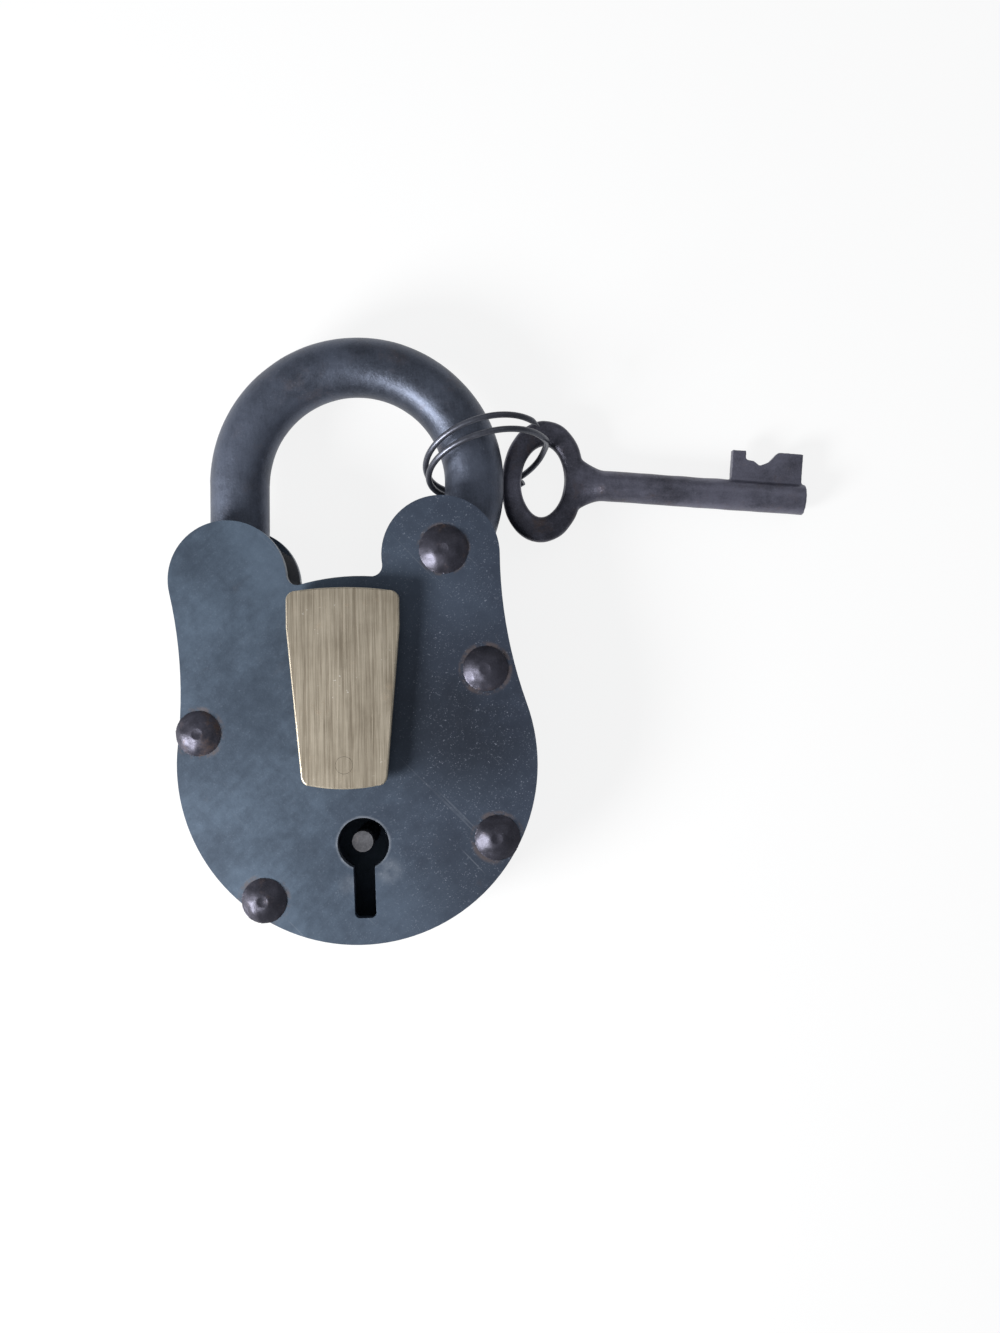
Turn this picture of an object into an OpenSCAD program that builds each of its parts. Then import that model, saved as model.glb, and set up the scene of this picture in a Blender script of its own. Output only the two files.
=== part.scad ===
// Old iron lever padlock with a swinging brass keyhole cover, a wire ring and a barrel key.
// Millimetres. The case lies on its back: z = 0 is the back plate's outer face, +y points to the shackle.

/* [Case] */
// Radius of the round belly
belly_r = 42.6; // [36:0.1:50]
// Thickness of the case over both plates
case_t = 26; // [22:0.5:32]
// Thickness of each plate
plate_t = 3; // [2:0.25:4]
// Thickness of the edge bands
band_t = 2.5; // [1.5:0.25:3]
// Radius of each ear
ear_r = 14; // [13:0.1:16]
// Height of the ear centres
ear_y = 47; // [45:0.5:50]
// Radius of the hollow curve at the waist
waist_r = 107.6; // [90:0.1:130]
// Height of the saddle at its middle
saddle_y = 44.5; // [44:0.1:46]

/* [Rivets] */
// Radius of a case rivet's domed head
head_r = 5.6; // [4:0.1:7]
// Height of a rivet head
head_h = 2.4; // [1.5:0.1:3]
// Radius of a rivet shank
shank_r = 2; // [1.5:0.1:3]

/* [Keyhole] */
// Radius of the round part of the keyhole
hole_r = 6.1; // [5:0.1:7]
// Width of the keyhole slot
slot_w = 5.1; // [4:0.1:6]
// Depth of the slot below the hole centre
slot_d = 17.6; // [14:0.1:20]
// Lean of the slot
slot_lean = 4.7; // [0:0.1:10]
// Radius of the drill pin
pin_r = 2.5; // [2:0.1:2.6]

/* [Shackle] */
// Radius of the shackle bar
bar_r = 7.35; // [6:0.05:8]
// Height of the shackle's bow centre above the pivot
bow_rise = 19.3; // [16:0.1:26]
// Lean of the free leg
leg_lean = 6.8; // [0:0.1:10]

/* [Keyhole cover] */
// Length of the brass cover
cover_l = 47; // [40:0.5:52]
// Width of the cover at its wide end
cover_w = 26.4; // [22:0.1:30]
// Width of the cover at its narrow end
cover_w2 = 19.6; // [14:0.1:22]
// Thickness of the cover
cover_t = 2.4; // [1.5:0.1:3]

/* [Lock works] */
// Travel of the bolt
bolt_travel = 7; // [5:0.5:7]
// Thickness of a lever
lever_t = 2.2; // [1.5:0.1:2.4]

/* [Ring and key] */
// Radius of the wire ring, to the wire's middle
ring_r = 15; // [14:0.1:16]
// Radius of the ring wire
wire_r = 0.75; // [0.6:0.05:1.1]
// Length of the key from the middle of its bow to its tip
key_l = 66; // [60:0.5:72]
// Radius of the key's shank
key_r = 3.9; // [3.4:0.1:4.4]

/* [Hidden] */
$fn = 72;
fit = 0.05;
zc = case_t/2;
zf = case_t - plate_t;
fil_r = 2.5;                       // fillet between saddle and ear
fil_y = ear_y - 0.75;              // height of that fillet's middle
fil_low = 38;                      // the corner is filled down to here
saddle_r = 51;                     // radius of the saddle's crown
saddle_side = 1.3;                 // the saddle is this much lower beside its crown
waist_y = 34;
waist_x = sqrt(pow(belly_r + waist_r, 2) - waist_y*waist_y);
ear_x = waist_x - sqrt(pow(waist_r + ear_r, 2) - pow(ear_y - waist_y, 2));
P = [ear_x + 0.85, ear_y + 1.1];   // shackle pivot
pivot_r = 3.25;
pivot_head = [6.1, 2.5];           // radius and height of the pivot rivet's head
spacer_r = 6;
csk = 1.6;                         // depth and flare of a countersunk rivet foot
band_cut = 7.35;                   // the saddle band ends this far inside the ears' middles
K = [-1.1, -18.4];                 // drill pin
H = [-0.8, -18.7];                 // keyhole
slot_fil = 1.3;                    // rounding of the slot's bottom corners
rivets = [for (q = [[30, 4.8], [162.2, 4.4], [-34.3, 5.3], [-131.1, 3.7]])
    (belly_r - q[1])*[cos(q[0]), sin(q[0])]];

leg_in = 3.55;                     // the bow meets the free leg this far inside the ear's middle
pivot_out = 0.68;                  // the pivot stands this share of the bow's radius from its middle
bow_r = (P[0] + ear_x - leg_in)/(pivot_out + cos(leg_lean));
bow_c = [P[0] - pivot_out*bow_r, P[1] + bow_rise];
leg_top = bow_c + bow_r*[-cos(leg_lean), sin(leg_lean)];
function leg_x(y) = leg_top[0] - (leg_top[1] - y)*tan(leg_lean);
eye_r = 9;
eye_h = 2*bar_r + 0.3;             // the eye stands a hair proud of the bar
leg_r = bar_r - 0.05;              // drawn down a hair, so that it seats inside the bow's end
toe_y = 30;
arm_y = ear_y + 5.5;               // the bands' arms end here
toe_gap = 0.5;
toe_swing = norm([P[0] + ear_x + sqrt(pow(ear_r - band_t, 2) - pow(arm_y - ear_y, 2)), arm_y - P[1]]) - toe_gap;

stud = [-2.5, 0.5];
stud_r = 2;
stud_neck = 0.5;                   // the stud is this much thicker inside the plate
cover_tilt = 6.2;
cover_z = case_t + head_h + 0.5;
cover_low = -5.6;                  // the cover's narrow end, from its stud
cover_arc = [40, 80];              // radii of its narrow and wide ends

guides = [[0, 30], [0, 13]];
guide_r = 2.5;
slide_gap = 0.1;
nose = [35.5, 40.5];               // bottom and top of the bolt's nose
nose_gap = 0.5;
nose_clear = 1.35;                 // the drawn-back nose stands this far from the leg
nose_x = leg_x((nose[0] + nose[1])/2) + bar_r/cos(leg_lean) + nose_clear;
nose_l = 11;
nose_lap = 4.49;                   // the nose laps the bolt by this much
bolt_left = nose_x + nose_l - nose_lap;
bolt_z = plate_t + 0.5;
bolt_t = 4.5;
stump = [-10, 0];
stump_s = 4;

lever_n = 3;
lever_p = [24, -6];
lever_z0 = bolt_z + bolt_t + 1.2;
lever_step = lever_t + 0.6;
lever_boss_r = 5;
collar_r = 4.2;
lever_play = 0.02;                 // a lever turns freely by this much above and below
post_r = 2.5;
spring_p = [25, 12];
spring_post_r = 2;
spring_eye_r = 2.6;

ring_tip = 65.4;
ring_yaw = 9.6;
ring_gap = wire_r + 0.05;          // half the spacing of the two turns where they lie closest
ring_fan = 2.5;                    // each turn leans out by this, so that they stand apart at the top
ring_dir = [-sin(ring_yaw)*cos(ring_tip), cos(ring_yaw)*cos(ring_tip), sin(ring_tip)];
ring_low = 13.1;                   // the ring hangs this far below the ear's reach
ring_dy = ear_r - ring_low;        // so it stays clear of the ear
ring_bar = [bow_c[0] + sqrt(bow_r*bow_r - ring_dy*ring_dy), bow_c[1] + ring_dy, zc];
ring_side = 0.16;                  // the ring's middle, beyond half the bar
ring_hang = 12.54;                 // and this far short of a radius along the ring
ring_c = ring_bar + [bar_r/2 + ring_side, 0, 0] + (ring_r - ring_hang)*ring_dir;
key_turn = -10.5;
key_off = [9.484, -4.68, -6.352];  // the key's bow, from the bar's outer side
key_c = ring_bar + [bar_r, 0, 0] + key_off;
key_lift = 0.03;                   // the tip stays this far off the ground
key_tilt = asin((key_c[2] - key_r - key_lift)/key_l);
key_out = [10.4, 15.3];            // half sizes of the bow's outer edge
key_in = [5.3, 8.8];               // and of its eye
key_slabs = [[0, 3.4], [0.7, 4.4]];   // the bow's two slabs: inset and thickness
neck_x = 6;
shank_x = 13;
neck_r = 2;
bit = [18, 11.3, 3];               // length, reach and thickness of the bit
bit_x = key_l - 19;
bit_cut = [[3.6, 12], [3.6, 9.3], [4, 9], [5.5, 8.9], [7.1, 7.8], [9.4, 8.9], [11.6, 11.4], [11.6, 12]];
bore_l = 28;                       // depth of the barrel's bore
bore_gap = 0.15;

iron = [0.24, 0.25, 0.28];
steel = [0.42, 0.42, 0.43];
brass = [0.66, 0.57, 0.38];

// ---- case outline, moved inwards by d ----
module waist_side(d) {
    belly = (belly_r - d)*[waist_x, waist_y]/norm([waist_x, waist_y]);
    ear_dir = [waist_x - ear_x, waist_y - ear_y];
    ear = [ear_x, ear_y] + (ear_r - d)*ear_dir/norm(ear_dir);
    difference() {
        polygon([[0, 0], belly, ear, [ear_x, ear_y], [ear_x - 6, saddle_y - saddle_side - d],
            [0, saddle_y - saddle_side - d]]);
        translate([waist_x, waist_y]) circle(waist_r + d, $fn = 360);
    }
}

module outline(d = 0) {
    circle(belly_r - d);
    for (s = [0, 1]) mirror([s, 0]) {
        translate([ear_x, ear_y]) circle(ear_r - d);
        waist_side(d);
        difference() {
            translate([7, fil_low]) square([ear_x - 7, fil_y - fil_low]);
            translate([ear_x - ear_r - fil_r, fil_y]) circle(fil_r + d);
            translate([0, 43.6 - d]) square([ear_x - ear_r - fil_r, 6]);
        }
    }
    intersection() {
        translate([0, saddle_y - saddle_r]) circle(saddle_r - d, $fn = 180);
        translate([-9.5, fil_low]) square([19, 10]);
    }
}

module keyhole() {
    translate(H) {
        circle(hole_r);
        rotate(-slot_lean) difference() {
            translate([-slot_w/2, -slot_d]) square([slot_w, slot_d]);
            for (s = [0, 1]) mirror([s, 0]) difference() {
                translate([slot_w/2 - slot_fil, -slot_d]) square(slot_fil);
                translate([slot_w/2 - slot_fil, -slot_d + slot_fil]) circle(slot_fil, $fn = 24);
            }
        }
    }
}

module at(p) translate([p[0], p[1], 0]) children();

// ---- case ----
module front_plate() color(iron) difference() {
    translate([0, 0, zf]) linear_extrude(plate_t) outline();
    translate([0, 0, zf - 1]) linear_extrude(plate_t + 2) keyhole();
    for (p = rivets) at(p) translate([0, 0, zf - 1]) cylinder(r = shank_r + fit, h = plate_t + 2);
    at(P) translate([0, 0, zf - 1]) cylinder(r = pivot_r + fit, h = plate_t + 2);
    at(stud) translate([0, 0, zf - 1]) cylinder(r = stud_r + stud_neck + fit, h = plate_t + 2);
}

module back_plate() color(iron) difference() {
    linear_extrude(plate_t) outline();
    for (p = rivets) at(p) {
        translate([0, 0, -1]) cylinder(r = shank_r + fit, h = plate_t + 2);
        translate([0, 0, -0.01]) cylinder(r1 = shank_r + csk + fit, r2 = shank_r + fit, h = csk);
    }
    at(P) {
        translate([0, 0, -1]) cylinder(r = pivot_r + fit, h = plate_t + 2);
        translate([0, 0, -0.01]) cylinder(r1 = pivot_r + csk + fit, r2 = pivot_r + fit, h = csk);
    }
}

module band_strip() difference() {
    translate([0, 0, plate_t]) linear_extrude(zf - plate_t) difference() {
        outline();
        outline(band_t);
    }
    translate([-80, arm_y, 0]) cube([160, 40, 60]);
    for (p = rivets) at(p) cylinder(r = shank_r + fit, h = case_t);
}

module case_band() color(iron) difference() {
    band_strip();
    translate([-ear_x, fil_low, 0]) cube([120, 40, 60]);
}

module saddle_band() color(iron) intersection() {
    band_strip();
    translate([band_cut - ear_x, fil_low, 0]) cube([2*(ear_x - band_cut), 40, 60]);
}

module rivet(r, hr, hh) {
    sr = (hr*hr + hh*hh)/(2*hh);
    cylinder(r = r, h = case_t + 0.5);
    cylinder(r1 = r + csk, r2 = r, h = csk);
    intersection() {
        translate([0, 0, case_t + hh - sr]) sphere(sr);
        translate([0, 0, case_t]) cylinder(r = hr + 1, h = hh - 0.12);
    }
}

module case_rivet(i) color(iron) at(rivets[i]) rivet(shank_r, head_r, head_h);
module pivot_rivet() color(iron) at(P) rivet(pivot_r, pivot_head[0], pivot_head[1]);

module pivot_spacer(z, h) color(steel) at(P) translate([0, 0, z]) difference() {
    cylinder(r = spacer_r, h = h);
    translate([0, 0, -1]) cylinder(r = pivot_r + fit, h = h + 2);
}

// ---- shackle ----
module shackle() color(iron) {
    leg_a = 180 - leg_lean;        // where the bow meets the free leg
    start_a = atan2(P[1] - bow_c[1], P[0] - bow_c[0]);
    difference() {
        union() {
            translate([bow_c[0], bow_c[1], zc]) rotate(start_a)
                rotate_extrude(angle = leg_a - start_a, $fn = 144) translate([bow_r, 0]) circle(bar_r);
            translate([leg_top[0], leg_top[1], zc]) rotate([0, 0, -leg_lean]) rotate([90, 0, 0])
                translate([0, 0, -1.2]) cylinder(r = leg_r, h = leg_top[1] - toe_y + 9);
            at(P) translate([0, 0, zc - eye_h/2]) cylinder(r = eye_r, h = eye_h);
        }
        at(P) cylinder(r = pivot_r + fit, h = 80, center = true);
        translate([-80, toe_y - 60, -20]) cube([90, 60, 80]);
        translate([nose_x - bolt_travel - 0.7, nose[0] - nose_gap, -20])
            cube([12 + bar_r, nose[1] - nose[0] + 2*nose_gap, 80]);
        at(P) translate([0, 0, -20]) difference() {
            translate([-130, -40, 0]) cube([100, 45, 80]);
            cylinder(r = toe_swing, h = 80);
        }
    }
}

// ---- bolt ----
module bolt() color(steel) {
    translate([0, 0, bolt_z]) linear_extrude(bolt_t) difference() {
        union() {
            translate([bolt_left, 24]) square([13 - bolt_left, nose[1] - 24]);
            translate([-8, 6]) square([21, 20]);
            translate([-13, -12.2]) square([26, 20]);
        }
        for (p = guides) translate([p[0] - guide_r - slide_gap, p[1] - guide_r - slide_gap])
            square([bolt_travel, 0] + 2*(guide_r + slide_gap)*[1, 1]);
        translate([-1.1, -13]) square([7, 6.2]);
        translate([nose_x, nose[0]]) square([nose_l, 10]);
    }
}

module bolt_nose() color(steel) translate([nose_x, nose[0], bolt_z])
    cube([nose_l, nose[1] - nose[0], bolt_t + 10]);

module bolt_stump() color(steel) translate([stump[0] - stump_s/2, stump[1] - stump_s/2, bolt_z + bolt_t])
    cube([stump_s, stump_s, lever_z(lever_n - 1) + lever_t + 0.4 - bolt_z - bolt_t]);

module post(p, r) color(steel) at(p) translate([0, 0, plate_t]) cylinder(r = r, h = zf - plate_t);

// ---- levers ----
function lever_z(i) = lever_z0 + i*lever_step;

stump_x = stump[0] + stump_s/2;
stump_y = stump[1] + stump_s/2 + 0.2;
lever_end = stump_x - bolt_travel + 0.4;

module lever(i) color(steel) translate([0, 0, lever_z(i)]) difference() {
    union() {
        at(lever_p) cylinder(r = lever_boss_r, h = lever_t);
        linear_extrude(lever_t) polygon([[24, -3], [24, -9], [19, -9.2], [11, -7.4], [6, -9.7], [-6, -9.7],
            [stump_x + 0.6, -7], [stump_x + 0.6, stump_y], [lever_end, stump_y], [lever_end, stump_y + 3.2],
            [lever_end + 2.6, 6], [4, 6], [19, -1.5]]);
    }
    at(lever_p) translate([0, 0, -1]) cylinder(r = post_r + fit, h = lever_t + 2);
}

module ring_washer(p, z, h, r, hole) color(steel) at(p) translate([0, 0, z]) difference() {
    cylinder(r = r, h = h);
    translate([0, 0, -1]) cylinder(r = hole, h = h + 2);
}

module lever_spring(i) color(steel) translate([0, 0, lever_z(i) + 0.2]) difference() {
    h = lever_t - 0.4;
    union() {
        at(spring_p) cylinder(r = spring_eye_r, h = h);
        linear_extrude(h) polygon([[24, 14.1], [24, 13.5], [16, 12.2], [9, 8.8], [3.4, 6.2], [2.8, 6.5],
            [8.6, 9.5], [15.7, 12.8]]);
    }
    at(spring_p) translate([0, 0, -1]) cylinder(r = spring_post_r + fit, h = h + 2);
}

module spring_post() post(spring_p, spring_post_r);
module lever_post() post(lever_p, post_r);
module drill_pin() color(steel) at(K) translate([0, 0, plate_t]) cylinder(r = pin_r, h = case_t - 2 - plate_t);

// ---- keyhole cover ----
module cover_shape() {
    y2 = cover_l + cover_low;
    difference() {
        intersection() {
            polygon([[-cover_w2/2, cover_low - 2], [cover_w2/2, cover_low - 2], [cover_w2/2, cover_low],
                [cover_w/2, y2 - cover_l/5], [cover_w/2, y2 + 2], [-cover_w/2, y2 + 2],
                [-cover_w/2, y2 - cover_l/5], [-cover_w2/2, cover_low]]);
            translate([0, y2 - cover_arc[1]]) circle(cover_arc[1], $fn = 180);
            translate([0, cover_low + cover_arc[0]]) circle(cover_arc[0], $fn = 180);
            translate([-25, -20]) square([50, 80]);
        }
        circle(stud_r + fit);
    }
}

module keyhole_cover() color(brass) at(stud) translate([0, 0, cover_z]) rotate(-cover_tilt)
    linear_extrude(cover_t) cover_shape();

module cover_stud() color(brass) at(stud) {
    translate([0, 0, zf]) cylinder(r = stud_r + stud_neck, h = plate_t);
    translate([0, 0, zf + 1]) cylinder(r = stud_r, h = cover_z + cover_t - zf - 1);
}

module cover_washer() ring_washer(stud, case_t, cover_z - case_t - 0.05, 5, stud_r + fit);

// ---- ring and key ----
module turn(side, start, sweep) translate([0, -ring_r, side*ring_gap]) rotate([side*ring_fan, 0, 0])
    translate([0, ring_r, 0]) rotate(start) rotate_extrude(angle = sweep, $fn = 96)
        translate([ring_r, 0]) circle(wire_r);

module key_ring() color(iron) translate(ring_c) rotate([ring_tip, 0, ring_yaw]) {
    half = ring_gap + ring_r*sin(ring_fan);
    turn(-1, 20, 340);
    turn(1, 0, 300);
    translate([ring_r, 0, -half]) cylinder(r = 0.9*wire_r, h = 2*half);
}

module ring_key() color(iron) translate(key_c) rotate([0, key_tilt, key_turn]) {
    ell = function(a, b) [for (t = [0:6:354]) [a*cos(t), b*sin(t)]];
    difference() {
        union() {
            for (q = key_slabs) translate([0, 0, -q[1]/2]) linear_extrude(q[1]) difference() {
                polygon(ell(key_out[0] - q[0], key_out[1] - q[0]));
                polygon(ell(key_in[0] + q[0], key_in[1] + q[0]));
            }
            translate([neck_x, 0, 0]) rotate([0, 90, 0])
                cylinder(r1 = neck_r, r2 = key_r, h = shank_x - neck_x);
            translate([shank_x, 0, 0]) rotate([0, 90, 0]) cylinder(r = key_r, h = key_l - shank_x);
            translate([bit_x, 0, -bit[2]/2]) cube(bit);
        }
        translate([key_l - bore_l, 0, 0]) rotate([0, 90, 0]) cylinder(r = pin_r + bore_gap, h = 40);
        translate([bit_x, 0, -5]) linear_extrude(10) polygon(bit_cut);      // the bit's step and its V
    }
}

front_plate();
back_plate();
case_band();
saddle_band();
for (i = [0:3]) case_rivet(i);
pivot_rivet();
pivot_spacer(plate_t, zc - eye_h/2 - plate_t - 0.02);  // pivot_spacer_1
pivot_spacer(zc + eye_h/2 + 0.02, zf - zc - eye_h/2 - 0.02);  // pivot_spacer_2
shackle();
bolt();
bolt_nose();
bolt_stump();
for (i = [0:1]) post(guides[i], guide_r);
for (i = [0:2]) lever(i);
lever_post();
ring_washer(lever_p, plate_t, lever_z(0) - lever_play - plate_t, collar_r, post_r + fit);  // lever_collar_1
for (i = [0:1]) ring_washer(lever_p, lever_z(i) + lever_t + lever_play, lever_step - lever_t - 2*lever_play, collar_r,
        post_r + fit);
ring_washer(lever_p, lever_z(2) + lever_t + lever_play, zf - lever_z(2) - lever_t - lever_play, collar_r,  // lever_collar_2
        post_r + fit);
for (i = [0:2]) lever_spring(i);
spring_post();
drill_pin();
keyhole_cover();
cover_stud();
cover_washer();
key_ring();
ring_key();
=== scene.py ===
import math
import bpy
from mathutils import Euler, Matrix, Vector, noise


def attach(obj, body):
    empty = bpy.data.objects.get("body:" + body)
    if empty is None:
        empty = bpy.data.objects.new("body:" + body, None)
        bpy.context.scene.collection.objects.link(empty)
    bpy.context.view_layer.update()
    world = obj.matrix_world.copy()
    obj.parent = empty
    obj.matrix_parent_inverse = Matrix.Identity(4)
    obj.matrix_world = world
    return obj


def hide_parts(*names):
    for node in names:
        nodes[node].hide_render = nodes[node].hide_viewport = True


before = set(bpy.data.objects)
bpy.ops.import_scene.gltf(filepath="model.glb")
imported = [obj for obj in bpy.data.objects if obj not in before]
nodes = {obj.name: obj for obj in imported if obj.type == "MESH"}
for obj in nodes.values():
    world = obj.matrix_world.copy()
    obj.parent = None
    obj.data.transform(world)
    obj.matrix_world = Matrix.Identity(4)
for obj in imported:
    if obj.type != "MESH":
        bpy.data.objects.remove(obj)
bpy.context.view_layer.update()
print("frame loaded")


# selecting, shaping and finishing pieces
def deselectAll():
    for o in list(bpy.context.selected_objects):
        o.select_set(False)


def only(obj):
    deselectAll()
    obj.select_set(True)
    bpy.context.view_layer.objects.active = obj


def editAll(obj):  # edit mode, with the whole mesh selected
    only(obj)
    bpy.ops.object.mode_set(mode="EDIT")
    bpy.ops.mesh.select_all(action="SELECT")


def leaveEdit():
    bpy.ops.object.mode_set(mode="OBJECT")


def applyAll(obj):
    only(obj)
    for m in list(obj.modifiers):
        bpy.ops.object.modifier_apply(modifier=m.name)


def addModifier(obj, kind, **settings):
    m = obj.modifiers.new(kind.title(), kind)
    for key, value in settings.items():
        setattr(m, key, value)


merging = {"doubles": 0.000004, "flatDegrees": 0.4, "thin": 0.000003}


def copyOfNode(nodeName, pieceName):  # a merged copy of a frame node, free to be shaped
    obj = nodes[nodeName].copy()
    obj.data = nodes[nodeName].data.copy()
    obj.name = pieceName
    for key in list(obj.keys()):
        del obj[key]
    obj.parent = None
    bpy.context.collection.objects.link(obj)
    editAll(obj)
    bpy.ops.mesh.remove_doubles(threshold=merging["doubles"])
    bpy.ops.mesh.dissolve_limited(angle_limit=math.radians(merging["flatDegrees"]), delimit={"NORMAL"})
    leaveEdit()
    if obj.data.has_custom_normals:
        bpy.ops.mesh.customdata_custom_splitnormals_clear()
    return obj


def evenSkin(obj, voxel, smoothings):  # small even faces all over, ready to be beaten
    editAll(obj)
    bpy.ops.mesh.quads_convert_to_tris()
    leaveEdit()
    addModifier(obj, "REMESH", mode="VOXEL", voxel_size=voxel)
    addModifier(obj, "SMOOTH", factor=0.5, iterations=smoothings)
    applyAll(obj)


def beatIn(obj, layers):  # sinks each point along its own normal, by an uneven depth for each layer
    normals = [v.normal.copy() for v in obj.data.vertices]
    for v, normal in zip(obj.data.vertices, normals):
        v.co -= normal * sum(depth * (1 + noise.noise(v.co * pitch)) for depth, pitch in layers)


def smoothByAngle(obj, degrees=60):
    only(obj)
    bpy.ops.object.shade_smooth_by_angle(angle=math.radians(degrees))


def awayFrom(point, place):  # level distance from an upright axis
    return math.hypot(point.x - place[0], point.y - place[1])


# goes into edit mode with only the edges selected that pass a test of their two ends and their bend
def edgesWhere(obj, chosen):
    only(obj)
    bpy.ops.object.mode_set(mode="EDIT")
    bpy.context.tool_settings.mesh_select_mode = (False, True, False)
    bpy.ops.mesh.select_all(action="DESELECT")
    leaveEdit()
    beside = {}
    for face in obj.data.polygons:
        for key in face.edge_keys:
            beside.setdefault(key, []).append(face.normal.copy())
    for edge in obj.data.edges:
        a, b = (obj.data.vertices[i].co for i in edge.vertices)
        normals = beside.get(tuple(sorted(edge.vertices)), [])
        bend = math.degrees(normals[0].angle(normals[1])) if len(normals) == 2 else 0
        edge.select = chosen(a, b, bend)
    bpy.ops.object.mode_set(mode="EDIT")


sheet = {"edgeSlope": 0.05, "level": 0.999, "smooth": 40}


def dropThinFaces(obj):  # bevels that meet leave faces of no width behind
    editAll(obj)
    bpy.ops.mesh.remove_doubles(threshold=merging["thin"])
    bpy.ops.mesh.dissolve_degenerate(threshold=merging["thin"])
    leaveEdit()


def wornEdges(obj):  # an attribute that is 1 on the rounded edges and 0 on the broad faces
    mesh = obj.data
    worn = mesh.attributes.new("worn", "FLOAT", "CORNER")
    for face in mesh.polygons:
        onEdge = sheet["edgeSlope"] < abs(face.normal.z) < 1 - sheet["edgeSlope"]
        for corner in face.loop_indices:
            worn.data[corner].value = 1.0 if onEdge else 0.0


def levelFacesFlat(obj):  # the broad faces shade dead flat, and the rounded edges stay smooth
    for face in obj.data.polygons:
        if abs(face.normal.z) > sheet["level"]:
            face.use_smooth = False


def trimSheet(obj):  # the plates and the cover end in the same way, once their edges are rounded
    dropThinFaces(obj)
    wornEdges(obj)
    smoothByAngle(obj, sheet["smooth"])
    levelFacesFlat(obj)


def paint(obj, material):
    obj.data.materials.clear()
    obj.data.materials.append(material)


def finishPiece(obj, body, slotName, material, *replaced):
    paint(obj, material)
    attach(obj, body)
    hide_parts(*replaced)


# shader maths
class Wire:  # wraps a socket, so that maths reads as maths
    tree = None

    def __init__(self, socket):
        self.socket = socket

    @staticmethod
    def node(kind, settings=None, values=None, out=0):
        n = Wire.tree.nodes.new(kind)
        for key, value in (settings or {}).items():
            setattr(n, key, value)
        for key, value in (values or {}).items():
            if isinstance(value, Wire):
                Wire.tree.links.new(value.socket, n.inputs[key])
            else:
                n.inputs[key].default_value = value
        return Wire(n.outputs[out])

    def maths(self, operation, other, swap=False, clamp=False):
        a, b = (other, self) if swap else (self, other)
        return Wire.node("ShaderNodeMath", {"operation": operation, "use_clamp": clamp}, {0: a, 1: b})

    def __add__(self, other):
        return self.maths("ADD", other)

    def __sub__(self, other):
        return self.maths("SUBTRACT", other)

    def __rsub__(self, other):
        return self.maths("SUBTRACT", other, swap=True)

    def __mul__(self, other):
        return self.maths("MULTIPLY", other)

    __radd__ = __add__
    __rmul__ = __mul__

    def clamped(self):
        return self.maths("ADD", 0.0, clamp=True)

    def most(self, other):
        return self.maths("MAXIMUM", other)

    def between(self, low, high):  # 0 at low, 1 at high, smooth in between
        return Wire.node("ShaderNodeMapRange", {"interpolation_type": "SMOOTHSTEP"},
                         {"Value": self, "From Min": low, "From Max": high, "To Min": 0.0, "To Max": 1.0})


def objectSpot():
    return Wire.node("ShaderNodeTexCoord", out="Object")


def objectPoint(scale=(1, 1, 1), shift=(0, 0, 0)):
    return Wire.node("ShaderNodeMapping", {"vector_type": "POINT"},
                     {"Vector": objectSpot(), "Location": shift, "Scale": scale})


def grainPoint(turn, stretch):  # a pattern drawn out along a direction turned from +Y
    turns = (0, 0, math.radians(turn))
    return Wire.node("ShaderNodeMapping", {"vector_type": "TEXTURE"},
                     {"Vector": objectSpot(), "Rotation": turns, "Scale": (1, stretch, 1)})


def alongAxis(letter):
    return Wire.node("ShaderNodeSeparateXYZ", None, {0: objectSpot()}, out=letter)


def noiseAt(point, pitch, detail, rough):
    return Wire.node("ShaderNodeTexNoise", None,
                     {"Vector": point, "Scale": pitch, "Detail": detail, "Roughness": rough}, out="Fac")


def mixColour(factor, a, b):
    a, b = (c if isinstance(c, Wire) else (*c, 1) for c in (a, b))
    return Wire.node("ShaderNodeMix", {"data_type": "RGBA"}, {0: factor, 6: a, 7: b}, out=2)


def newMaterial(name, fixed):
    material = bpy.data.materials.new(name)
    material.use_nodes = True
    Wire.tree = material.node_tree
    shader = Wire.tree.nodes["Principled BSDF"]
    for key, value in fixed.items():
        shader.inputs[key].default_value = value
    return material, shader


def feed(shader, **wires):
    names = {"colour": "Base Color", "rough": "Roughness", "metal": "Metallic", "normal": "Normal"}
    for key, wire in wires.items():
        Wire.tree.links.new(wire.socket, shader.inputs[names[key]])


def bump(height, strength, distance):
    return Wire.node("ShaderNodeBump", None, {"Height": height, "Strength": strength, "Distance": distance},
                     out="Normal")


def nearPlace(place, radius, soft):  # 1 within radius of an upright axis through place, 0 past the soft band
    flat = Wire.node("ShaderNodeVectorMath", {"operation": "MULTIPLY"}, {0: objectSpot(), 1: (1, 1, 0)})
    foot = (*place, 0)
    away = Wire.node("ShaderNodeVectorMath", {"operation": "DISTANCE"}, {0: flat, 1: foot}, out="Value")
    return away.between(radius + soft, radius)


def edgeWear():  # the attribute that wornEdges leaves on a piece
    return Wire.node("ShaderNodeAttribute", {"attribute_name": "worn"}, out="Fac")


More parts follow.
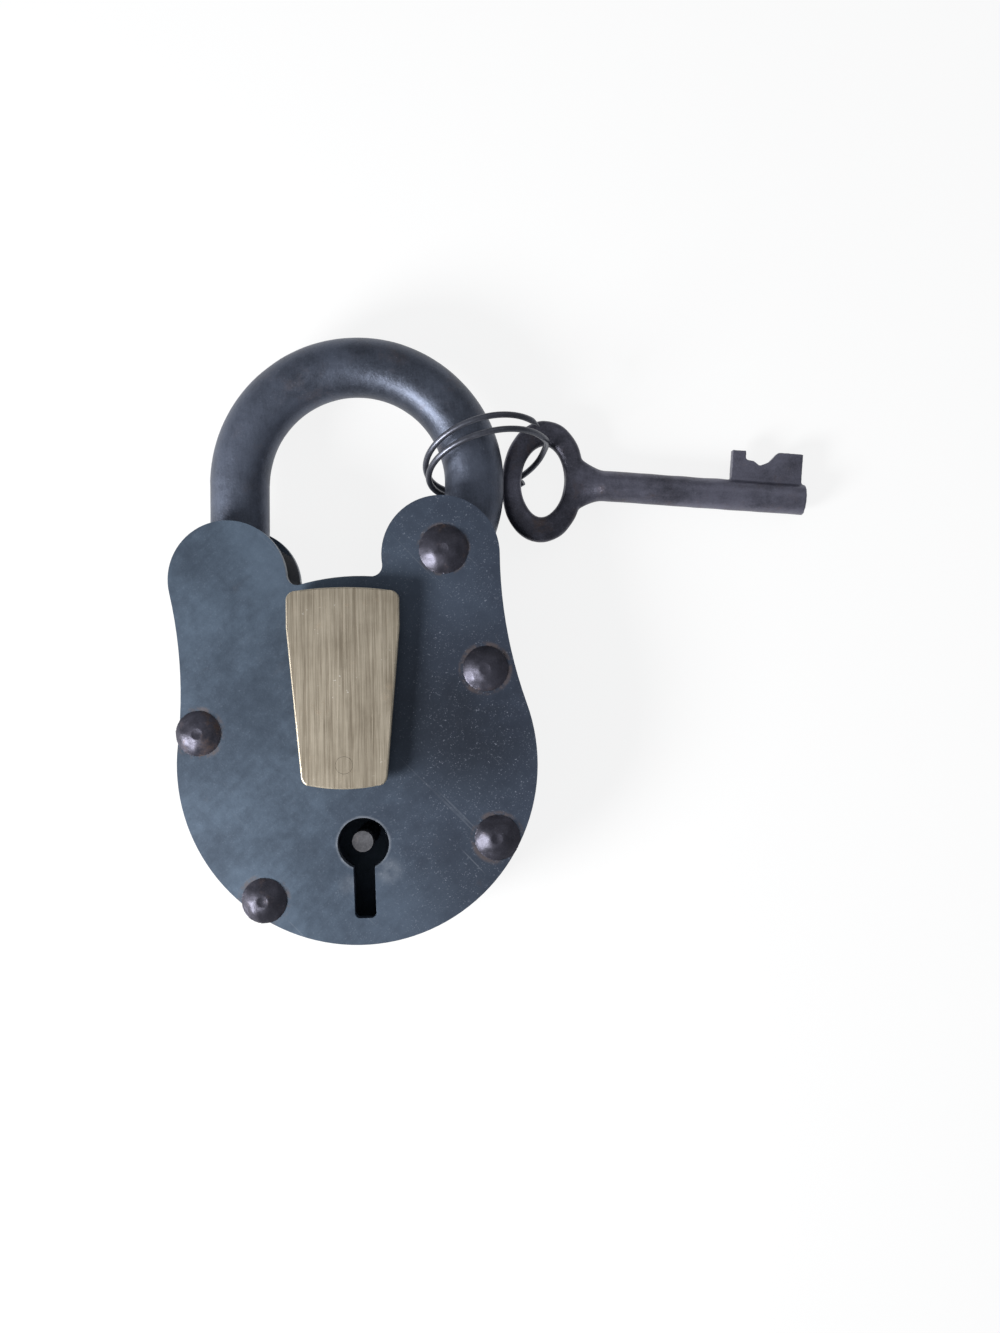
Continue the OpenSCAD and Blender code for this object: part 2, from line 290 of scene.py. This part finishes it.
# blackened iron: a pattern is its pitch, its detail and its roughness
iron = {
    "cloud": (45, 4, 0.6), "mottle": (420, 5, 0.7), "fine": (2400, 2, 0.6), "rust": (130, 5, 0.7),
    "drawn": (1500, 3, 0.65), "drawnLength": 14,
    "brownTone": (0.075, 0.048, 0.042), "speckTone": (0.3, 0.32, 0.36), "specks": 0.3,
    "patternRough": 0.14,  # what the patterns add on average to the roughness
    "bumpiness": 0.5,
}
ironFinishes = {
    "forgedIron": {"tone": (0.076, 0.088, 0.12), "rough": 0.45, "brown": 0.3, "seed": 3.1, "streak": 0.2,
                   "depth": 0.0004, "spread": 0.5},
    "rivetIron": {"tone": (0.056, 0.055, 0.073), "rough": 0.42, "brown": 0.9, "seed": 7.7},
    "keyIron": {"tone": (0.102, 0.102, 0.134), "rough": 0.42, "brown": 0.7, "seed": 5.3, "streak": 0.1,
                "turn": 79.5, "depth": 0.0005, "spread": 0.6},
    # painted shade: the side bands get a nearly black, matte tone for the shade that falls on the case's
    # walls
    "bandIron": {"tone": (0.026, 0.03, 0.038), "rough": 0.85, "brown": 0.4, "seed": 1.7, "metal": 0.0,
                 "gloss": 0.08},
    "pinIron": {"tone": (0.13, 0.13, 0.142), "rough": 0.42, "brown": 0.5, "seed": 2.9},
    "wireIron": {"tone": (0.085, 0.09, 0.112), "rough": 0.36, "brown": 0.35, "seed": 9.1},
}


def makeBlackenedIron(name, tone, rough, brown, seed, streak=0.0, turn=0.0, metal=0.78,
                      depth=0.00024, spread=0.4, gloss=0.5):
    material, shader = newMaterial(name, {"Specular IOR Level": gloss})
    point = objectPoint(shift=(seed, seed * 0.7, 0))
    cloud = noiseAt(point, *iron["cloud"])  # broad patches of scale
    mottle = noiseAt(point, *iron["mottle"])
    fine = noiseAt(point, *iron["fine"])
    drawn = noiseAt(grainPoint(turn, iron["drawnLength"]), *iron["drawn"])
    shade = cloud.between(0.32, 0.68) * 0.3 + mottle * 0.35 + fine * 0.25 + drawn * streak
    dark = tuple(c * (1 - spread) for c in tone)
    light = tuple(c * (1 + spread) for c in tone)
    colour = mixColour(shade.between(0.2, 0.72 + streak * 0.6), dark, light)
    tint = noiseAt(point, *iron["rust"]).between(0.5, 0.7) * mottle.between(0.38, 0.6) * brown
    colour = mixColour(tint.clamped(), colour, iron["brownTone"])
    speck = fine.between(0.66, 0.74) * mottle.between(0.45, 0.6)
    colour = mixColour(speck * iron["specks"], colour, iron["speckTone"])
    height = mottle * 0.55 + fine * 0.12 + drawn * streak * 0.5 + cloud * 0.35
    feed(shader, colour=colour,
         rough=(mottle * 0.2 + cloud * 0.08 + tint * 0.15 + (rough - iron["patternRough"])).clamped(),
         metal=(metal - tint * 0.5).clamped(),
         normal=bump(height, iron["bumpiness"], depth))
    return material


rivets = {
    "places": {"case_rivet_1": (0.0327, 0.0189), "case_rivet_2": (-0.0363, 0.0117),
               "case_rivet_3": (0.0308, -0.021), "case_rivet_4": (-0.0256, -0.0293),
               "pivot_rivet": (0.0262, 0.0481)},
    "voxel": 0.00022, "smoothings": 2,
    "domeFrom": 0.0262, "domeRise": 0.001,  # the marks begin at this height and deepen over this rise
    "hammering": 0.00016, "evenBeat": 0.6, "beatPitch": 420, "beatSpread": 900,
    "drawIn": 0.03, "drawInBeat": 0.035, "punch": 0.0013, "punchDepth": 0.00018,
}
plates = {
    "edgeRound": 0.0006, "rounds": 3, "sharpFrom": 50, "gloss": 0.5,
    "cloud": (34, 5, 0.62), "mottle": (300, 5, 0.68), "fine": (2600, 2, 0.6), "edgePatches": (520, 3, 0.6),
    "rub": (620, 3, 0.6), "rubTurn": -52, "rubLength": 9,
    "scratch": (700, 2, 0.5), "scratchTurn": 38, "scratchLength": 30,
    "rimStain": (260, 5, 0.7), "stain": (90, 5, 0.7), "rivetRim": (0.0059, 0.0008),
    # the last tone on this line darkens the right side, partly a real darker finish and partly painted shade
    "dark": (0.042, 0.059, 0.086), "light": (0.083, 0.116, 0.162), "rightTone": (0.032, 0.04, 0.066),
    # the first tone on this line is painted shade, for the cover's shadow and the darker lower right
    "handledTone": (0.008, 0.011, 0.019), "speckTone": (0.26, 0.28, 0.34), "wornTone": (0.3, 0.32, 0.36),
    "scratchTone": (0.26, 0.28, 0.32), "brownTone": (0.085, 0.058, 0.05), "edgeTone": (0.26, 0.28, 0.33),
    # each mark is its place, its radius and its soft band, and a rivet's rim has the rivet's place; the
    # first two are painted shade: the cover's shadow on the plate and the darker lower right
    "besideCover": ((0.027, 0.008), 0.005, 0.024), "lowerRight": ((0.024, -0.029), 0.002, 0.02),
    "keyholeRim": ((-0.0008, -0.0187), 0.0062, 0.0006), "slotSide": ((0.0044, -0.0258), 0.0002, 0.0042),
    "slotFoot": ((-0.005, -0.028), 0.0006, 0.003),
    "right": (-0.02, 0.03), "front": (0.018, 0.022),  # from nothing to full, along X and along Z
    "bumpiness": 0.42, "depth": 0.00022,
}


def rivetRims():  # a thin line where each head meets the plate
    rims = [nearPlace(place, *plates["rivetRim"]) for place in rivets["places"].values()]
    rim = rims[0]
    for line in rims[1:]:
        rim = rim.most(line)
    return rim


def keyholeWear():  # keys have rubbed the keyhole's rim and slot, on the front plate only
    rim = nearPlace(*plates["keyholeRim"]) * 0.6
    side = nearPlace(*plates["slotSide"]) * 0.38
    foot = nearPlace(*plates["slotFoot"]) * 0.22
    return rim.most(side).most(foot) * alongAxis("Z").between(*plates["front"])


def makePlateIron():
    material, shader = newMaterial("plateIron", {"Specular IOR Level": plates["gloss"]})
    point = objectPoint()
    cloud = noiseAt(point, *plates["cloud"])
    mottle = noiseAt(point, *plates["mottle"])
    fine = noiseAt(point, *plates["fine"])
    rub = noiseAt(grainPoint(plates["rubTurn"], plates["rubLength"]), *plates["rub"])
    scratch = noiseAt(grainPoint(plates["scratchTurn"], plates["scratchLength"]), *plates["scratch"])
    scratch = scratch.between(0.68, 0.74) * cloud.between(0.45, 0.6)
    right = alongAxis("X").between(*plates["right"])  # darker there, partly a real darker finish and partly painted shade, with more pale specks
    shade = cloud.between(0.3, 0.7) * 0.32 + mottle * 0.28 + rub * 0.18 + fine * 0.14
    colour = mixColour(shade.between(0.22, 0.72), plates["dark"], plates["light"])
    # painted shade, partly a real darker finish: the plate is darkened towards the right
    colour = mixColour(right * 0.6, colour, plates["rightTone"])
    paintedShade = nearPlace(*plates["besideCover"]) * cloud.between(0.2, 0.5)  # painted shadow: darkest beside the cover, where its shadow falls
    # painted shade: the lower right of the plate is darkened too
    paintedShade = paintedShade.most(nearPlace(*plates["lowerRight"]) * 0.45)
    colour = mixColour(paintedShade * 0.75, colour, plates["handledTone"])
    speck = fine.between(0.6, 0.72) * (right * 0.4 + 0.1) * mottle.between(0.35, 0.6)
    colour = mixColour(speck, colour, plates["speckTone"])
    worn = keyholeWear() * mottle.between(0.2, 0.75)
    colour = mixColour(worn.clamped(), colour, plates["wornTone"])
    colour = mixColour(scratch * 0.22, colour, plates["scratchTone"])
    tint = rivetRims() * noiseAt(point, *plates["rimStain"]).between(0.42, 0.62) * 0.6
    tint = tint.most(noiseAt(point, *plates["stain"]).between(0.62, 0.8) * 0.22)
    colour = mixColour(tint.clamped(), colour, plates["brownTone"])
    rubbed = (edgeWear() * noiseAt(point, *plates["edgePatches"]).between(0.34, 0.56)).clamped()
    colour = mixColour(rubbed * 0.5, colour, plates["edgeTone"])
    height = mottle * 0.45 + fine * 0.1 + rub * 0.2 + cloud * 0.5
    feed(shader, colour=colour,
         rough=(mottle * 0.18 + cloud * 0.12 + tint * 0.2 + right * 0.06 + 0.3).clamped(),
         metal=(0.5 - tint * 0.35 - speck * 0.4).clamped(),
         normal=bump(height, plates["bumpiness"], plates["depth"]))
    return material


cover = {
    "cornerRound": 0.0018, "cornerSteps": 6, "edgeRound": 0.00035, "edgeSteps": 3,
    "stud": (-0.0025, 0.0005), "studClear": 0.004,
    "cornerBend": 40, "cornerHeight": 0.001, "rimBend": 50, "rimLevel": 0.00001,
    "grain": -6.2, "brush": (3600, 3, 0.75), "brushLength": 60, "lines": (1300, 4, 0.7), "lineLength": 45,
    "cloud": (90, 4, 0.62), "stain": (260, 5, 0.7), "stainPatches": (60, 2, 0.5), "nick": (1300, 2, 0.5),
    "dark": (0.235, 0.196, 0.144), "light": (0.47, 0.412, 0.325), "stainTone": (0.16, 0.115, 0.075),
    "nickTone": (0.8, 0.77, 0.7), "edgeTone": (0.5, 0.45, 0.36),
    "gloss": 0.5, "bumpiness": 0.4, "depth": 0.00012,
}


def makeBrass():
    material, shader = newMaterial("brushedBrass", {"Specular IOR Level": cover["gloss"]})
    point = objectPoint()
    brush = noiseAt(grainPoint(cover["grain"], cover["brushLength"]), *cover["brush"])
    lines = noiseAt(grainPoint(cover["grain"], cover["lineLength"]), *cover["lines"])
    cloud = noiseAt(point, *cover["cloud"])
    shade = brush * 0.4 + lines * 0.38 + cloud * 0.22
    colour = mixColour(shade.between(0.36, 0.64), cover["dark"], cover["light"])
    stain = noiseAt(point, *cover["stain"]).between(0.56, 0.72)
    stain = stain * noiseAt(point, *cover["stainPatches"]).between(0.45, 0.65)
    colour = mixColour(stain * 0.6, colour, cover["stainTone"])
    nick = noiseAt(point, *cover["nick"]).between(0.7, 0.76) * cloud.between(0.5, 0.6)
    colour = mixColour(nick * 0.6, colour, cover["nickTone"])
    colour = mixColour((edgeWear() * (brush * 0.5 + 0.45)).clamped(), colour, cover["edgeTone"])
    height = brush * 0.5 + lines * 0.5 + stain * 0.2
    feed(shader, colour=colour, rough=(brush * 0.22 + stain * 0.15 + 0.3).clamped(),
         metal=(0.7 - stain * 0.35).clamped(), normal=bump(height, cover["bumpiness"], cover["depth"]))
    return material


works = {
    "starts": ("bolt", "guide_post", "lever", "spring_post", "pivot_spacer", "cover_washer"),
    "grain": (1500, 2, 0.6), "grainScale": (0.1, 1, 1), "film": (140, 4, 0.6),
    "dark": (0.16, 0.145, 0.12), "light": (0.34, 0.33, 0.31),
    "gloss": 0.5, "bumpiness": 0.25, "depth": 0.0001,
}


def makeOiledSteel():
    material, shader = newMaterial("oiledSteel", {"Specular IOR Level": works["gloss"]})
    grain = noiseAt(objectPoint(scale=works["grainScale"]), *works["grain"])
    film = noiseAt(objectPoint(), *works["film"])
    colour = mixColour((film * 0.7 + grain * 0.3).between(0.35, 0.65), works["dark"], works["light"])
    feed(shader, colour=colour, rough=(film * 0.3 + 0.25).clamped(), metal=(0.95 - film * 0.2).clamped(),
         normal=bump(grain, works["bumpiness"], works["depth"]))
    return material


plateIron = makePlateIron()
irons = {name: makeBlackenedIron(name, **finish) for name, finish in ironFinishes.items()}
brushedBrass = makeBrass()
oiledSteel = makeOiledSteel()
print("finishes made")

for nodeName, pieceName in (("front_plate", "FrontPlate"), ("back_plate", "BackPlate")):
    plate = copyOfNode(nodeName, pieceName)
    addModifier(plate, "BEVEL", width=plates["edgeRound"], segments=plates["rounds"], limit_method="ANGLE",
                angle_limit=math.radians(plates["sharpFrom"]))
    applyAll(plate)
    trimSheet(plate)
    finishPiece(plate, "case", "blackened_iron", plateIron, nodeName)
print("plates rounded")


def hammerDome(rivet, place):  # shallow flats pressed into the dome, and a punch mark in the middle
    for v in rivet.data.vertices:
        if v.co.z > rivets["domeFrom"]:
            outward = Vector((v.co.x - place[0], v.co.y - place[1], 0))
            beat = noise.noise(v.co * rivets["beatPitch"] + Vector((place[0] * rivets["beatSpread"], 3, 0)))
            middle = max(0, 1 - outward.length / rivets["punch"]) ** 0.5
            mark = rivets["hammering"] * (rivets["evenBeat"] + beat) + rivets["punchDepth"] * middle
            v.co -= outward * (rivets["drawIn"] + rivets["drawInBeat"] * beat)
            v.co.z -= mark * min(1, (v.co.z - rivets["domeFrom"]) / rivets["domeRise"])


for nodeName, place in rivets["places"].items():
    rivet = copyOfNode(nodeName, nodeName.title().replace("_", ""))
    evenSkin(rivet, rivets["voxel"], rivets["smoothings"])
    hammerDome(rivet, place)
    smoothByAngle(rivet)
    finishPiece(rivet, "case", "blackened_iron", irons["rivetIron"], nodeName)
print("rivets hammered")

# painted shade: the side bands are painted nearly black, standing in for the shade on the case's walls
for nodeName in ("case_band", "saddle_band"):
    paint(nodes[nodeName], irons["bandIron"])
for nodeName in nodes:
    if nodeName.startswith(works["starts"]):
        paint(nodes[nodeName], oiledSteel)
paint(nodes["drill_pin"], irons["pinIron"])
paint(nodes["cover_stud"], brushedBrass)
print("lock works finished")


def clearOfStud(point):
    return awayFrom(point, cover["stud"]) > cover["studClear"]


def coverCorner(a, b, bend):  # the upright edges
    return bend > cover["cornerBend"] and abs(a.z - b.z) > cover["cornerHeight"] and clearOfStud(a)


def coverRim(a, b, bend):  # the level edges, all round
    return bend > cover["rimBend"] and abs(a.z - b.z) < cover["rimLevel"] and clearOfStud(a)


coverPlate = copyOfNode("keyhole_cover", "KeyholeCover")
edgesWhere(coverPlate, coverCorner)
bpy.ops.mesh.bevel(offset=cover["cornerRound"], segments=cover["cornerSteps"], affect="EDGES")
edgesWhere(coverPlate, coverRim)
bpy.ops.mesh.bevel(offset=cover["edgeRound"], segments=cover["edgeSteps"], affect="EDGES")
leaveEdit()
trimSheet(coverPlate)
finishPiece(coverPlate, "cover", "brass", brushedBrass, "keyhole_cover")
print("cover rounded")


def placeOf(offset, turns):  # a piece's own frame, for points worked out along it
    return Matrix.Translation(Vector(offset)) @ Euler([math.radians(t) for t in turns]).to_matrix().to_4x4()


# the ring is nearly two turns of wire: angles are in degrees, and the fan is how far the turns open
ring = {
    "centre": (0.0390979, 0.0693097, 0.0152367), "tip": 65.4, "yaw": 9.6, "radius": 0.015, "wire": 0.00075,
    "gap": 0.0008, "fan": 2.5, "start": 20, "end": 660, "steps": 200, "crossFrom": 335, "crossOver": 50,
    "waver": 0.0001, "waverPitch": 2.3, "nip": 0.12, "nipStep": 0.22, "roundness": 6, "smooth": 50,
}
ringFrame = placeOf(ring["centre"], (ring["tip"], 0, ring["yaw"]))
ringPath = []
for step in range(ring["steps"] + 1):
    angle = math.radians(ring["start"] + (ring["end"] - ring["start"]) * step / ring["steps"])
    crossing = min(1, max(0, (math.degrees(angle) - ring["crossFrom"]) / ring["crossOver"]))
    side = 2 * crossing * crossing * (3 - 2 * crossing) - 1
    reach = ring["radius"] + ring["waver"] * math.sin(angle * ring["waverPitch"])
    lean = ring["gap"] + (ring["radius"] + reach * math.sin(angle)) * math.sin(math.radians(ring["fan"]))
    ringPath.append(ringFrame @ Vector((reach * math.cos(angle), reach * math.sin(angle), side * lean)))
wireCurve = bpy.data.curves.new("KeyRing", "CURVE")
wireCurve.dimensions = "3D"
wireCurve.bevel_depth = ring["wire"]
wireCurve.bevel_resolution = ring["roundness"]
wireCurve.use_fill_caps = True
spline = wireCurve.splines.new("POLY")
spline.points.add(len(ringPath) - 1)
for index, (point, co) in enumerate(zip(spline.points, ringPath)):
    point.co = (*co, 1)
    point.radius = min(1, ring["nip"] + ring["nipStep"] * index)  # the first end is nipped to a point
keyRing = bpy.data.objects.new("KeyRing", wireCurve)
bpy.context.collection.objects.link(keyRing)
only(keyRing)
bpy.ops.object.convert(target="MESH")
keyRing = bpy.context.object
smoothByAngle(keyRing, ring["smooth"])
finishPiece(keyRing, "ring", "wire_iron", irons["wireIron"], "key_ring")
print("key ring wound")

# bow, shank, neck and web are in millimetres in the key's own frame, and the neck's cuts are shares of its
# length; the rest is in metres and degrees
key = {
    "centre": (0.0522677, 0.06362, 0.006648), "tilt": 2.36, "turn": -10.5,
    "bowOuter": (10.4, 15.3), "bowHole": (5.3, 8.8), "bowThick": 2.1, "bowHalf": 2.55, "bowSwell": 0.7,
    "bowFlatness": 0.85, "bowCrown": 0.8, "bowCut": 15.5,
    "shank": 3.9, "neck": (5.5, 17.5), "webFrom": 15.2, "webWide": 6.2, "webCurve": 1.7, "webThin": 1.9,
    "webThinBy": 1.5, "neckCuts": (0, -0.42, -0.33, -0.25, -0.16, -0.08, 0.08, 0.16, 0.25, 0.33, 0.42),
    "voxel": 0.00028, "smoothings": 4, "beating": ((0.00009, 260),),
}
torus = {"major_segments": 120, "minor_segments": 28, "major_radius": 0.01, "minor_radius": 0.003}
keyFrame = placeOf(key["centre"], (0, key["tilt"], key["turn"]))
towardBow = keyFrame.to_3x3() @ Vector((-1, 0, 0))

barrelKey = copyOfNode("ring_key", "BarrelKey")  # its plain bow is cut off, and a forged one takes its place
editAll(barrelKey)
bpy.ops.mesh.bisect(plane_co=keyFrame @ Vector((key["bowCut"] / 1000, 0, 0)), plane_no=towardBow,
                    clear_outer=True, use_fill=True)
leaveEdit()

deselectAll()
bpy.ops.mesh.primitive_torus_add(**torus)
bow = bpy.context.object
halfAlong, halfAcross = ((key["bowOuter"][i] + key["bowHole"][i]) / 2 for i in (0, 1))
for v in bow.data.vertices:  # the plain ring drawn out to the forged oval
    around = math.atan2(v.co.y, v.co.x)
    section = math.atan2(v.co.z, math.hypot(v.co.x, v.co.y) - torus["major_radius"])
    half = key["bowHalf"] + key["bowSwell"] * math.sin(around) ** 2
    outward = Vector((math.cos(around) / halfAlong, math.sin(around) / halfAcross, 0)).normalized()
    flat = math.copysign(abs(math.cos(section)) ** key["bowFlatness"], math.cos(section))
    high = math.copysign(abs(math.sin(section)) ** key["bowCrown"], math.sin(section))
    local = Vector((halfAlong * math.cos(around), halfAcross * math.sin(around), 0)) + outward * half * flat
    local.z = key["bowThick"] * high
    v.co = keyFrame @ (local / 1000)

deselectAll()
bpy.ops.mesh.primitive_cylinder_add(vertices=48, radius=1, depth=1)
neck = bpy.context.object
editAll(neck)
for cut in key["neckCuts"]:
    bpy.ops.mesh.select_all(action="SELECT")
    bpy.ops.mesh.bisect(plane_co=(0, 0, cut), plane_no=(0, 0, 1))
leaveEdit()
neckFrom, neckTo = key["neck"]
for v in neck.data.vertices:  # a web that spreads from the round shank into the bow
    along = neckFrom + (neckTo - neckFrom) * (v.co.z + 0.5)
    spread = max(0, (key["webFrom"] - along) / (key["webFrom"] - neckFrom))
    wide = key["shank"] + key["webWide"] * spread ** key["webCurve"]
    thick = key["shank"] - key["webThin"] * min(1, spread * key["webThinBy"])
    v.co = keyFrame @ (Vector((along, v.co.y * wide, v.co.x * thick)) / 1000)

deselectAll()
for part in (bow, neck, barrelKey):
    part.select_set(True)
bpy.context.view_layer.objects.active = barrelKey
bpy.ops.object.join()
editAll(barrelKey)
bpy.ops.mesh.normals_make_consistent(inside=False)
leaveEdit()
evenSkin(barrelKey, key["voxel"], key["smoothings"])
beatIn(barrelKey, key["beating"])
smoothByAngle(barrelKey)
finishPiece(barrelKey, "key", "key_iron", irons["keyIron"], "ring_key")
print("barrel key forged")

bar = {"voxel": 0.00045, "smoothings": 3, "beating": ((0.00007, 70), (0.00003, 300))}
shackle = copyOfNode("shackle", "Shackle")
evenSkin(shackle, bar["voxel"], bar["smoothings"])
beatIn(shackle, bar["beating"])
smoothByAngle(shackle)
finishPiece(shackle, "shackle", "blackened_iron", irons["forgedIron"], "shackle")
print("shackle forged")

# floor, light and camera
studio = {
    "floorSize": 6, "floorPlace": (0.036, 0.03, -0.0003), "floorWhite": 0.85,
    "floorPaint": {"Roughness": 0.9, "Base Color": (0.92, 0.92, 0.92, 1), "Specular IOR Level": 0.1},
    "sky": 0.36, "skyColour": (0.93, 0.96, 1, 1),
}
lamps = {
    "window": {"place": (-0.3, -0.12, 0.24), "aim": (-0.02, 0.02, 0.0), "size": 0.17, "power": 3.1},
    "flank": {"place": (-0.5, 0.06, 0.13), "aim": (-0.02, 0.05, 0.013), "size": 0.22, "power": 0.4},
    "fill": {"place": (0.4, 0.45, 0.6), "aim": (0.03, 0.03, 0), "size": 0.6, "power": 0.4},
}
lens = {"place": (0.0362, 0.019, 0.351), "focal": 37.19, "roll": -6.8, "sensor": 36, "near": 0.01}

bpy.ops.mesh.primitive_plane_add(size=studio["floorSize"], location=studio["floorPlace"])
floor = bpy.context.object
floor.name = "Floor"
floorPaint, shader = newMaterial("floorPaint", studio["floorPaint"])
glow = Wire.node("ShaderNodeEmission", None, {"Color": (1, 1, 1, 1), "Strength": 1.0})
direct = Wire.node("ShaderNodeLightPath", out="Is Camera Ray")
seen = direct.most(Wire.node("ShaderNodeLightPath", out="Is Glossy Ray"))
plainWhite = Wire.node("ShaderNodeMixShader", None,
                       {0: seen * studio["floorWhite"], 1: Wire(shader.outputs[0]), 2: glow})
Wire.tree.links.new(plainWhite.socket, Wire.tree.nodes["Material Output"].inputs["Surface"])
floor.data.materials.append(floorPaint)

world = bpy.data.worlds.new("Studio")
bpy.context.scene.world = world
world.use_nodes = True
world.node_tree.nodes["Background"].inputs["Color"].default_value = studio["skyColour"]
world.node_tree.nodes["Background"].inputs["Strength"].default_value = studio["sky"]


def softLamp(name, place, aim, size, power):
    lamp = bpy.data.lights.new(name, "AREA")
    lamp.shape = "DISK"
    lamp.size = size
    lamp.energy = power
    obj = bpy.data.objects.new(name, lamp)
    bpy.context.collection.objects.link(obj)
    obj.location = place
    obj.rotation_euler = (Vector(aim) - Vector(place)).to_track_quat("-Z", "Y").to_euler()


for lampName, lampSettings in lamps.items():
    softLamp(lampName, **lampSettings)

camera = bpy.data.objects.new("Camera", bpy.data.cameras.new("Camera"))
bpy.context.collection.objects.link(camera)
camera.location = lens["place"]
camera.rotation_euler = (0, 0, math.radians(lens["roll"]))
camera.data.lens = lens["focal"]
camera.data.sensor_width = lens["sensor"]
camera.data.clip_start = lens["near"]
bpy.context.scene.camera = camera
bpy.context.scene.view_settings.view_transform = "Standard"
print("stage set")
